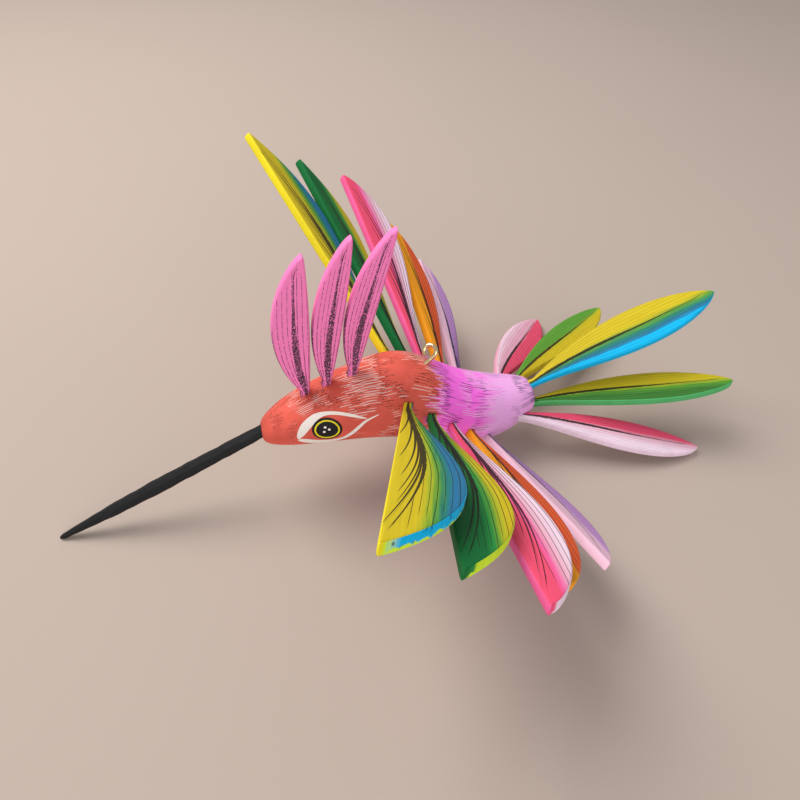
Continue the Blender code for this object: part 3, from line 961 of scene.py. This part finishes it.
def fur_strokes_group():
    """Rows of fine brush strokes along the body: each starts light and goes on dark and dry."""
    tree, wires, given, result = new_group(
        "fur_strokes",
        [(name, NUMBER) for name in ("Along", "Turn", "Count", "Row Length", "Cover", "Dry", "Seed")]
        + [("Position", VECTOR)],
        [("Light", NUMBER), ("Dark", NUMBER), ("Jitter", NUMBER)])
    along = given["Along"]
    shifted = wires.node(
        "ShaderNodeVectorMath", given["Position"],
        wires.node("ShaderNodeCombineXYZ", given["Seed"], 0.3, 0.1).outputs[0],
        operation="ADD").outputs[0]
    sway = wires.noise(shifted, 55.0, 1.0)
    drift = wires.noise(shifted, 85.0, 1.0)
    place = wires.product(
        wires.math("MULTIPLY_ADD", sway, 0.055, wires.math("DIVIDE", given["Turn"], 2.0 * pi)),
        given["Count"])
    number = wires.math("FLOOR", place)
    apart = wires.math("ABSOLUTE", wires.math("SUBTRACT", wires.math("FRACT", place), 0.5))
    chance = wires.random(number, given["Seed"], 1.0)
    row = wires.math("ADD", wires.math("DIVIDE", along, given["Row Length"]),
                     wires.math("MULTIPLY_ADD", chance, 0.34, wires.product(drift, 1.9)))
    part = wires.math("FRACT", row)
    own = wires.random(number, given["Seed"], wires.math("FLOOR", row))
    turning = wires.math("MULTIPLY_ADD", own, 0.20, 0.26)
    ending = wires.math("MULTIPLY_ADD", own, 0.22, 0.58)
    cover = wires.noise(shifted, 105.0, 1.0)
    present = wires.smooth(cover, given["Cover"], wires.math("ADD", given["Cover"], 0.05))
    grit = wires.noise(given["Position"], 3000.0, 1.0)
    dry = wires.math("MULTIPLY_ADD", wires.smooth(grit, 0.54, 0.44), wires.product(given["Dry"], -1.0), 1.0)
    light = wires.product(
        wires.smooth(part, 0.0, 0.04),
        wires.smooth(part, turning, wires.math("SUBTRACT", turning, 0.12)),
        wires.smooth(apart, 0.19, 0.07), present, wires.math("MULTIPLY_ADD", own, 0.5, 0.5))
    dark = wires.product(
        wires.smooth(part, wires.math("SUBTRACT", turning, 0.10), turning),
        wires.smooth(part, ending, wires.math("SUBTRACT", ending, 0.14)),
        wires.smooth(apart, 0.27, 0.13), present, dry)
    wires.join(light, result["Light"])
    wires.join(dark, result["Dark"])
    wires.join(chance, result["Jitter"])
    return tree


def new_material(name):
    """A material with its Principled shader and wires."""
    material = bpy.data.materials.new(name)
    material.use_nodes = True
    shader = material.node_tree.nodes["Principled BSDF"]
    shader.inputs["Specular IOR Level"].default_value = 0.18
    return material, shader, Wires(material.node_tree)


def relief(wires, shader, height, depth):
    """Raise the surface by a height map."""
    bump = wires.node("ShaderNodeBump")
    bump.inputs["Strength"].default_value = 1.0
    bump.inputs["Distance"].default_value = depth
    wires.join(height, bump.inputs["Height"])
    wires.join(bump.outputs[0], shader.inputs["Normal"])


def feather_paint(name, paint, groups, length, quill=(0.50, 60.0, 0.40), barbs=0.0, front_lines=1.0,
                  pitch=0.095, line=0.07, strength=0.85, broken=0.0, seed=0.0):
    """Two materials, for the faces and for the rims of one kind of feather."""
    materials = []
    for part in ("face", "rim"):
        material, shader, wires = new_material(f"{name}_{part}")
        along, across, reach = (wires.attribute(key) for key in ("along", "across", "reach"))
        position = wires.node("ShaderNodeTexCoord").outputs["Object"]
        width = wires.product(across, reach, 1.6)
        stretched = wires.node("ShaderNodeCombineXYZ", wires.product(along, 7.0), width, seed).outputs[0]
        brushed = wires.group(groups["brushed_paint"], Stretched=stretched, Position=position)
        spread = paint.get("spread", 1.0)
        if part == "face" and spread < 1.0:
            grown = wires.math("MULTIPLY_ADD", wires.smooth(along, 0.02, 0.50), 1.0 - spread, spread)
            across = wires.product(across, grown)
        wobble = wires.math("MULTIPLY_ADD", wires.math("SUBTRACT", brushed["Streak"], 0.5), 0.16, across)
        colour = wires.ramp(wobble, paint[part])
        shade = wires.smooth(brushed["Streak"], 0.25, 0.80)
        colour = wires.mix(wires.product(shade, 0.12), colour, INK)
        if part == "face":
            lines = wires.group(
                groups["feather_lines"], Along=along, Across=wires.attribute("across"), Reach=reach,
                Length=length, Position=position, Quill_Place=quill[0], Quill_Curl=quill[1],
                Quill_Width=quill[2], Line_Pitch=pitch, Line_Width=line, Line_Strength=strength,
                Barbs=barbs, Front_Lines=front_lines, Broken=broken, Seed=seed)
            colour = wires.mix(wires.product(lines["Mask"], 0.94), colour, paint["ink"])
        else:
            colour = rim_marks(wires, colour, paint, position, along, across)
        wires.join(colour, shader.inputs["Base Color"])
        wires.join(brushed["Roughness"], shader.inputs["Roughness"])
        relief(wires, shader, brushed["Height"], 0.00005)
        materials.append(material)
    return materials


def rim_marks(wires, colour, paint, position, along, across):
    """The rim's spots, the colour of its lower edge and the dark line at its foot."""
    if "speckle" in paint:
        spots = wires.smooth(wires.noise(position, 620.0, 2.0), 0.58, 0.66)
        spots = wires.product(spots, wires.smooth(across, 0.08, 0.20), paint["speckle"])
        colour = wires.mix(spots, colour, NAVY)
    if "under" in paint:
        smear = paint.get("smear", 0.0)
        level = wires.math("SUBTRACT", wires.attribute("level"), smear / 2)
        smeared = wires.math("MULTIPLY_ADD", wires.noise(position, 700.0, 2.0), smear, level)
        lower = wires.product(
            wires.smooth(smeared, -0.25, -0.60), wires.smooth(along, 0.60, 0.85),
            wires.smooth(across, 0.08, 0.20))
        colour = wires.mix(lower, colour, paint["under"])
    if "front_ink" in paint:
        broken = wires.smooth(wires.noise(position, 3200.0, 1.0), 0.62, 0.50)
        inked = wires.product(
            wires.smooth(across, 0.62, 0.74), wires.smooth(along, 0.62, 0.40), broken,
            paint["front_ink"])
        colour = wires.mix(inked, colour, paint["ink"])
    return colour


def body_paint(colours, groups):
    """Coral that turns to magenta and lilac, under rows of light and dark brush strokes."""
    material, shader, wires = new_material("body_paint")
    position = wires.node("ShaderNodeTexCoord").outputs["Object"]
    x, y, z = wires.node("ShaderNodeSeparateXYZ", position).outputs
    along = wires.math("MULTIPLY_ADD", x, 1.0 / MILLIMETRE, BEAK_TIP_TO_ORIGIN)
    above = wires.math("SUBTRACT", z, wires.attribute("centre_height"))
    turn = wires.math("ARCTAN2", y, above)

    on_rump = wires.smooth(along, 110.5, 114.0)
    dry = wires.math("MULTIPLY_ADD", on_rump, -0.8, 1.0)
    first, second, fine = (
        wires.group(
            groups["fur_strokes"], Along=along, Turn=turn, Count=count, Row_Length=row_length,
            Cover=cover, Dry=dry, Seed=seed, Position=position)
        for count, row_length, cover, seed in FUR_LAYERS)
    colour = body_ground(wires, colours, position, along, turn, on_rump, first["Jitter"])
    cream, black = tuple(colours.cream), tuple(colours.black)
    calm = wires.math("SUBTRACT", 1.0, eye_calm(wires, x, y, z))
    plain = wires.product(wires.smooth(along, 126.0, 130.0), wires.smooth(along, 139.0, 137.0))
    kept = wires.product(calm, wires.math("MULTIPLY_ADD", plain, -0.75, 1.0))
    pale_pink = wires.mix(on_rump, cream, PINK_WHITE)
    dark_ink = wires.mix(on_rump, black, PLUM)
    for layer, light_share, dark_share in ((second, 0.70, 0.80), (first, 0.95, 0.85)):
        colour = wires.mix(wires.product(layer["Dark"], kept, dark_share), colour, dark_ink)
        colour = wires.mix(wires.product(layer["Light"], kept, light_share), colour, pale_pink)
    on_end = wires.smooth(along, 137.0, 139.5)
    on_end = wires.math("ADD", wires.product(on_rump, 0.5), on_end, clamp=True)
    colour = wires.mix(wires.product(fine["Dark"], on_end, calm, 0.9), colour, NAVY)
    wires.join(colour, shader.inputs["Base Color"])
    stretched = wires.node(
        "ShaderNodeCombineXYZ", wires.product(along, 0.10), wires.product(turn, 7.0)).outputs[0]
    brushed = wires.group(groups["brushed_paint"], Stretched=stretched, Position=position)
    wires.join(brushed["Roughness"], shader.inputs["Roughness"])
    thick = wires.math("ADD", first["Light"], second["Light"])
    height = wires.math("MULTIPLY_ADD", thick, 0.6, brushed["Height"])
    relief(wires, shader, height, 0.00007)
    return material


def body_ground(wires, colours, position, along, turn, on_rump, jitter):
    """The ground colours from beak to tail, with ragged borders that lie further forward low down."""
    ragged = wires.math("MULTIPLY_ADD", wires.math("SUBTRACT", jitter, 0.5), 4.5, along)
    blotch = wires.noise(position, 130.0, 2.0)
    ragged = wires.math("MULTIPLY_ADD", wires.math("SUBTRACT", blotch, 0.5), 4.0, ragged)
    flank = wires.smooth(wires.math("ABSOLUTE", turn), 0.3, 1.4)
    ragged = wires.math("MULTIPLY_ADD", flank, 5.2, ragged)
    scale = wires.math("DIVIDE", wires.math("SUBTRACT", ragged, GROUND_START), GROUND_LENGTH)
    head, rump, tail_end = tuple(colours.head), tuple(colours.rump), tuple(colours.tail_end)
    colour = wires.ramp(scale, (
        (0.0, head), (0.565, head), (0.59, rump), (0.72, rump), (0.80, tail_end), (1.0, tail_end)))
    pale = wires.smooth(wires.noise(position, 95.0, 1.0), 0.52, 0.66)
    colour = wires.mix(wires.product(pale, on_rump, 0.55), colour, tail_end)
    warm = wires.smooth(wires.noise(position, 140.0, 2.0), 0.40, 0.65)
    lighter = tuple(min(value * 1.35 + 0.01, 1.0) for value in head)
    on_head = wires.smooth(along, 112.0, 108.0)
    return wires.mix(wires.product(warm, on_head, 0.5), colour, lighter)


def eye_calm(wires, x, y, z):
    """1 round the eyes, where the brush strokes stop."""
    centre = placed(*CHEEK_POINT)
    aside = wires.math("SUBTRACT", wires.math("ABSOLUTE", y), abs(centre.y))
    apart = wires.node("ShaderNodeCombineXYZ", wires.product(wires.math("SUBTRACT", x, centre.x), 0.72),
                       aside, wires.math("SUBTRACT", z, centre.z)).outputs[0]
    length = wires.node("ShaderNodeVectorMath", apart, operation="LENGTH").outputs["Value"]
    return wires.smooth(length, *EYE_CALM)


def plain_paint(name, colour, groups, roughness=0.0, depth=0.00005):
    """One colour of paint, brushed along X by hand."""
    material, shader, wires = new_material(name)
    position = wires.node("ShaderNodeTexCoord").outputs["Object"]
    stretched = wires.node(
        "ShaderNodeVectorMath", position, (60.0, 900.0, 900.0), operation="MULTIPLY").outputs[0]
    brushed = wires.group(groups["brushed_paint"], Stretched=stretched, Position=position)
    worn = wires.smooth(brushed["Streak"], 0.55, 0.85)
    paler = tuple(value * 0.6 + 0.03 for value in colour)
    wires.join(wires.mix(wires.product(worn, 0.5), colour, paler), shader.inputs["Base Color"])
    wires.join(wires.math("ADD", brushed["Roughness"], roughness), shader.inputs["Roughness"])
    relief(wires, shader, brushed["Height"], depth)
    return material


def brass_wire(colour):
    """Bright drawn brass with faint tarnish and draw marks."""
    material, shader, wires = new_material("brass_wire_bright")
    position = wires.node("ShaderNodeTexCoord").outputs["Object"]
    tarnish = wires.smooth(wires.noise(position, 900.0, 3.0), 0.45, 0.75)
    dull = tuple(value * 0.55 for value in colour)
    wires.join(wires.mix(wires.product(tarnish, 0.6), colour, dull), shader.inputs["Base Color"])
    shader.inputs["Metallic"].default_value = 1.0
    shader.inputs["Specular IOR Level"].default_value = 0.5
    wires.join(wires.math("MULTIPLY_ADD", tarnish, 0.18, 0.16), shader.inputs["Roughness"])
    relief(wires, shader, wires.noise(position, 3500.0, 1.0), 0.00002)
    return material


def floor_paint(colour):
    """A plain pale floor with the faintest unevenness."""
    material, shader, wires = new_material("floor")
    position = wires.node("ShaderNodeTexCoord").outputs["Object"]
    mottle = wires.noise(position, 9.0, 3.0)
    paler = tuple(value * 0.93 for value in colour)
    wires.join(wires.mix(wires.product(mottle, 0.5), colour, paler), shader.inputs["Base Color"])
    shader.inputs["Roughness"].default_value = 0.8
    return material


def shared_groups():
    """The node groups, built once."""
    builders = {
        "feather_lines": feather_lines_group,
        "brushed_paint": brushed_group,
        "fur_strokes": fur_strokes_group,
    }
    for name, build in builders.items():
        if name not in bpy.data.node_groups:
            build()
    return bpy.data.node_groups


# ---------------------------------------------------------------- operators


def settings(context):
    """Sizes, colours and stage of this scene."""
    scene = context.scene
    return scene.hummingbird_sizes, scene.hummingbird_colours, scene.hummingbird_stage


class HUMMINGBIRD_OT_stage(bpy.types.Operator):
    """Make the floor, the soft light and the camera"""

    bl_idname = "hummingbird.stage"
    bl_label = "Stage"

    def execute(self, context):
        _, _, stage = settings(context)
        solid = bmesh.new()
        bmesh.ops.create_grid(solid, x_segments=1, y_segments=1, size=stage.floor_width / 2)
        mesh = bpy.data.meshes.new("floor")
        solid.to_mesh(mesh)
        solid.free()
        mesh.materials.append(floor_paint(tuple(stage.floor_colour)))
        floor_object = bpy.data.objects.new("floor", mesh)
        context.scene.collection.objects.link(floor_object)
        floor_object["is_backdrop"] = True
        self.light(context, stage)
        self.camera(context, stage)
        return {"FINISHED"}

    def light(self, context, stage):
        """A soft light from beyond the far wing, a wide one beside the camera, and an even sky."""
        world = bpy.data.worlds.new("sky")
        world.use_nodes = True
        background = world.node_tree.nodes["Background"]
        background.inputs["Color"].default_value = SKY_COLOUR
        background.inputs["Strength"].default_value = stage.sky
        context.scene.world = world
        lamps = (
            ("key", stage.key_power, stage.key_width, KEY_COLOUR, KEY_PLACE),
            ("fill", stage.fill_power, stage.fill_width, FILL_COLOUR, FILL_PLACE),
        )
        for name, power, width, colour, place in lamps:
            lamp = bpy.data.lights.new(name, "AREA")
            lamp.energy = power
            lamp.size = width
            lamp.color = colour
            light = bpy.data.objects.new(name, lamp)
            light.location = place
            light.rotation_euler = (-light.location).to_track_quat("-Z", "Y").to_euler()
            context.scene.collection.objects.link(light)
        context.scene.view_settings.view_transform = "Standard"

    def camera(self, context, stage):
        """The camera looks down on the left side from before the left wing."""
        view = bpy.data.cameras.new("camera")
        view.lens = stage.lens
        view.sensor_width = 36.0
        view.clip_start = 0.01
        eye = bpy.data.objects.new("camera", view)
        eye.location = placed(*CAMERA_PLACE)
        eye.rotation_euler = (pi / 2 - stage.elevation, 0.0, -stage.yaw)
        context.scene.collection.objects.link(eye)
        context.scene.camera = eye


class HUMMINGBIRD_OT_body(bpy.types.Operator):
    """Carve and paint the head and body"""

    bl_idname = "hummingbird.body"
    bl_label = "Body"

    def execute(self, context):
        sizes, colours, _ = settings(context)
        paint = body_paint(colours, shared_groups())
        keep(carved_body(sizes), "painted_body", "carving", [paint], ["body"], "coral_paint", 60.0)
        return {"FINISHED"}


class HUMMINGBIRD_OT_eyes(bpy.types.Operator):
    """Paint both eyes with their white almonds"""

    bl_idname = "hummingbird.eyes"
    bl_label = "Eyes"

    def execute(self, context):
        sizes, colours, _ = settings(context)
        groups = shared_groups()
        body = bpy.data.objects["painted_body"]
        skin = BVHTree.FromObject(body, context.evaluated_depsgraph_get())
        black = plain_paint("eye_black", tuple(colours.black), groups, -0.08)
        white = plain_paint("eye_white", tuple(colours.cream), groups)
        yellow = plain_paint("eye_yellow", tuple(colours.yellow), groups)
        film, radius = sizes.paint_film, sizes.eye_radius / MILLIMETRE
        inner, outer = (share * radius for share in EYE_RING)
        for side, word in ((-1, "left"), (1, "right")):
            jobs = (
                ("eye_disc", black, ((disc_shape(EYE_CENTRE, radius), 20, 20, 2.0),)),
                ("eye_ring", yellow, ((ring_shape(EYE_CENTRE, inner, outer), 72, 2, 3.0),)),
                ("eye_dots", white, tuple(
                    (disc_shape((EYE_CENTRE[0] + back, EYE_CENTRE[1] + up), EYE_DOT_RADIUS), 8, 8, 3.0)
                    for back, up in EYE_DOTS)),
                ("eye_almond", white, (
                    (stroke_shape(UPPER_LID), 60, 6, 1.0), (stroke_shape(LOWER_LID), 60, 6, 1.0))),
            )
            for name, material, shapes in jobs:
                solid = bmesh.new()
                for shape, columns, rows, layers in shapes:
                    lay_film(solid, skin, side, shape, columns, rows, film * layers, film * layers)
                keep(solid, f"{word}_{name}", "carving", [material], (), "coral_paint")
        return {"FINISHED"}


class HUMMINGBIRD_OT_beak(bpy.types.Operator):
    """Whittle the beak"""

    bl_idname = "hummingbird.beak"
    bl_label = "Beak"

    def execute(self, context):
        _, colours, _ = settings(context)
        start, direction = beak_axis()
        turn = axes_along(direction, Vector((0.0, 1.0, 0.0)))
        widen = Matrix.Diagonal((BEAK_WIDTH_OVER_HEIGHT, 1.0, 1.0, 1.0))
        length = BEAK_SECTIONS[-1][0]
        sections = []
        places = [place for place, _ in BEAK_SECTIONS[:2]]
        places += [length * step / BEAK_CUTS for step in range(1, BEAK_CUTS + 1)]
        for number, place in enumerate(places):
            radius = self.radius(place) * (1.0 + 0.035 * sin(number * 2.4) + 0.02 * sin(number * 5.1))
            matrix = Matrix.Translation(start + direction * place * MILLIMETRE) @ turn @ widen
            matrix = matrix @ Matrix.Rotation(0.05 * sin(number * 1.7), 4, "Z")
            sections.append((matrix, radius * MILLIMETRE))
        paint = plain_paint("beak_paint", tuple(colours.black), shared_groups(), -0.02, depth=0.00012)
        solid = loft(sections, BEAK_SIDES)
        keep(solid, "whittled_beak", "carving", [paint], ["beak"], "black_paint", 24.0)
        return {"FINISHED"}

    def radius(self, place):
        """Radius of the stick at a distance from its tip, in millimetres."""
        for (p0, r0), (p1, r1) in zip(BEAK_SECTIONS, BEAK_SECTIONS[1:]):
            if place <= p1:
                return r0 + (r1 - r0) * (place - p0) / (p1 - p0)
        return BEAK_SECTIONS[-1][1]


class HUMMINGBIRD_OT_screw_eye(bpy.types.Operator):
    """Bend the brass screw eye"""

    bl_idname = "hummingbird.screw_eye"
    bl_label = "Screw eye"

    def execute(self, context):
        _, colours, _ = settings(context)
        path = [(0.0, -EYE_DEPTH), (0.0, 0.0), (0.0, EYE_LOOP_HEIGHT - LOOP_RADIUS)]
        for step in range(LOOP_STEPS + 1):
            angle = LOOP_SWEEP * step / LOOP_STEPS
            sideways = LOOP_RADIUS * (cos(angle) - 1.0)
            path.append((sideways, EYE_LOOP_HEIGHT + LOOP_RADIUS * sin(angle)))
        wire = bpy.data.curves.new("wire", "CURVE")
        wire.dimensions = "3D"
        wire.bevel_depth = WIRE_RADIUS * MILLIMETRE
        wire.bevel_resolution = 6
        wire.use_fill_caps = True
        spline = wire.splines.new("POLY")
        spline.points.add(len(path) - 1)
        for point, (sideways, up) in zip(spline.points, path):
            point.co = (sideways * MILLIMETRE, 0.0, up * MILLIMETRE, 1.0)
        bent = bpy.data.objects.new("wire", wire)
        context.scene.collection.objects.link(bent)
        context.view_layer.update()
        solid = bmesh.new()
        solid.from_mesh(bent.evaluated_get(context.evaluated_depsgraph_get()).to_mesh())
        bpy.data.objects.remove(bent)
        bmesh.ops.remove_doubles(solid, verts=solid.verts, dist=1e-7)
        bmesh.ops.recalc_face_normals(solid, faces=solid.faces)
        place = Matrix.Translation(placed(*EYE_ROOT)) @ Matrix.Rotation(EYE_LEAN, 4, "Y")
        place = place @ Matrix.Rotation(EYE_TURN, 4, "Z")
        bmesh.ops.transform(solid, matrix=place, verts=solid.verts)
        material = brass_wire(tuple(colours.brass))
        keep(solid, "bent_screw_eye", "screw_eye", [material], ["screw_eye"], "brass_wire", 50.0)
        return {"FINISHED"}


def keep_feather(node, solid, materials):
    """A finished feather takes the place of its CAD node and rides on the same body."""
    slots = {entry["node"]: entry["material_slot"] for entry in frame["record"]["subparts"]}
    keep(solid, f"painted_{node}", node, materials, [node], slots[node])


class HUMMINGBIRD_OT_wings(bpy.types.Operator):
    """Cut and paint the ten wing feathers"""

    bl_idname = "hummingbird.wings"
    bl_label = "Wings"

    def execute(self, context):
        sizes, _, _ = settings(context)
        groups = shared_groups()
        for paint, *pair in zip(WING_PAINTS, wing_layout("left"), wing_layout("right")):
            number = pair[0][0]
            materials = feather_paint(
                f"wing_{number}", paint, groups, WING_LENGTH, quill=paint["quill"],
                barbs=paint["barbs"], front_lines=0.0, pitch=paint.get("pitch", 0.095), line=0.085,
                strength=0.92, seed=float(number))
            for side, (_, root, tip, across, rear, front) in zip(("left", "right"), pair):
                solid = feather_solid(
                    root, tip, across, rear, front, sizes.wing_thickness, PEG_DEPTH, sizes)
                keep_feather(f"{side}_wing_feather_{number}", solid, materials)
        return {"FINISHED"}


class HUMMINGBIRD_OT_tail(bpy.types.Operator):
    """Cut and paint the five tail feathers"""

    bl_idname = "hummingbird.tail"
    bl_label = "Tail"

    def execute(self, context):
        sizes, _, _ = settings(context)
        groups = shared_groups()
        for (number, root, tip, across, near, far), paint in zip(tail_layout(), TAIL_PAINTS):
            materials = feather_paint(
                f"tail_{number}", paint, groups, TAIL_LENGTH, quill=(0.50, 40.0, 0.40), pitch=0.083,
                line=0.03, strength=0.5, seed=20.0 + number)
            solid = feather_solid(
                root, tip, across, near, far, sizes.tail_thickness, TAIL_PEG_DEPTH, sizes)
            keep_feather(f"tail_feather_{number}", solid, materials)
        return {"FINISHED"}


class HUMMINGBIRD_OT_crest(bpy.types.Operator):
    """Cut and paint the three crest feathers"""

    bl_idname = "hummingbird.crest"
    bl_label = "Crest"

    def execute(self, context):
        sizes, _, _ = settings(context)
        groups = shared_groups()
        materials = feather_paint(
            "crest", CREST_PAINT, groups, CREST_LENGTH, quill=(0.42, 30.0, 0.76), pitch=0.13,
            line=0.075, strength=0.95, broken=1.0, seed=40.0)
        for name, root, tip, across, front, rear in crest_layout():
            solid = feather_solid(
                root, tip, across, front, rear, sizes.crest_thickness, PEG_DEPTH, sizes)
            keep_feather(f"crest_feather_{name}", solid, materials)
        return {"FINISHED"}


class HUMMINGBIRD_PT_panel(bpy.types.Panel):
    """Lists every step and the values that a user would change"""

    bl_label = "Hummingbird"
    bl_idname = "HUMMINGBIRD_PT_panel"
    bl_space_type = "VIEW_3D"
    bl_region_type = "UI"
    bl_category = "Hummingbird"

    def draw(self, context):
        for operator in OPERATORS:
            self.layout.operator(operator.bl_idname)
        for group in settings(context):
            box = self.layout.box()
            for name in group.bl_rna.properties.keys():
                if name not in {"rna_type", "name"}:
                    box.prop(group, name)


GROUPS = (HummingbirdSizes, HummingbirdColours, HummingbirdStage)
OPERATORS = (
    HUMMINGBIRD_OT_stage,
    HUMMINGBIRD_OT_body,
    HUMMINGBIRD_OT_eyes,
    HUMMINGBIRD_OT_beak,
    HUMMINGBIRD_OT_screw_eye,
    HUMMINGBIRD_OT_crest,
    HUMMINGBIRD_OT_wings,
    HUMMINGBIRD_OT_tail,
)
CLASSES = GROUPS + OPERATORS + (HUMMINGBIRD_PT_panel,)


def register():
    """Add the classes and the scene's settings."""
    for item in CLASSES:
        bpy.utils.register_class(item)
    bpy.types.Scene.hummingbird_sizes = PointerProperty(type=HummingbirdSizes)
    bpy.types.Scene.hummingbird_colours = PointerProperty(type=HummingbirdColours)
    bpy.types.Scene.hummingbird_stage = PointerProperty(type=HummingbirdStage)


def unregister():
    """Remove them again."""
    del bpy.types.Scene.hummingbird_stage
    del bpy.types.Scene.hummingbird_colours
    del bpy.types.Scene.hummingbird_sizes
    for item in reversed(CLASSES):
        bpy.utils.unregister_class(item)


def main():
    """Run every step in order, then take the boxes round the model and round its looks."""
    register()
    bpy.ops.hummingbird.stage()
    bpy.ops.hummingbird.body()
    bpy.ops.hummingbird.eyes()
    bpy.ops.hummingbird.beak()
    bpy.ops.hummingbird.screw_eye()
    bpy.ops.hummingbird.crest()
    bpy.ops.hummingbird.wings()
    bpy.ops.hummingbird.tail()
    boxes = {"cad": CAD_BOX, "visual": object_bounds()}
    {name: [list(corner) for corner in box] for name, box in boxes.items()}


if __name__ == "__main__":
    main()
